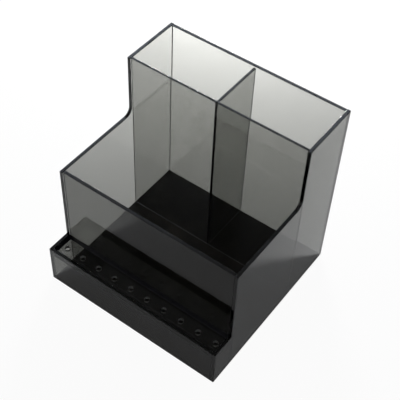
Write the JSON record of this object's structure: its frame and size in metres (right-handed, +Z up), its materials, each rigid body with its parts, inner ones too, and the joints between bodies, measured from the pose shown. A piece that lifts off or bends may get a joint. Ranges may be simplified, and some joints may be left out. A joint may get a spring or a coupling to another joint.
{
  "type": "nail drill bit holder",
  "caption": "Stepped desk organiser of smoked clear acrylic: tall rear compartments, an open tray and a low front rack with a row of holes for nail drill bits.",
  "frame": {"origin": "middle of the footprint, on the surface that the organiser stands on", "axes": "+Z up, +X to the right of someone facing the front, front face at -Y"},
  "size_m": [0.11, 0.106, 0.112],
  "materials": {
    "smoked_acrylic": "polished, see-through grey smoke tint",
    "black_acrylic": "polished, opaque black"
  },
  "bodies": {
    "root": {"left_side_panel": "smoked_acrylic", "right_side_panel": "smoked_acrylic", "back_panel": "smoked_acrylic", "divider_panel": "smoked_acrylic", "partition_panel": "smoked_acrylic", "tray_front_wall": "smoked_acrylic", "front_panel": "smoked_acrylic", "bit_plate": "smoked_acrylic", "base_plate": "black_acrylic"}
  },
  "joints": []
}
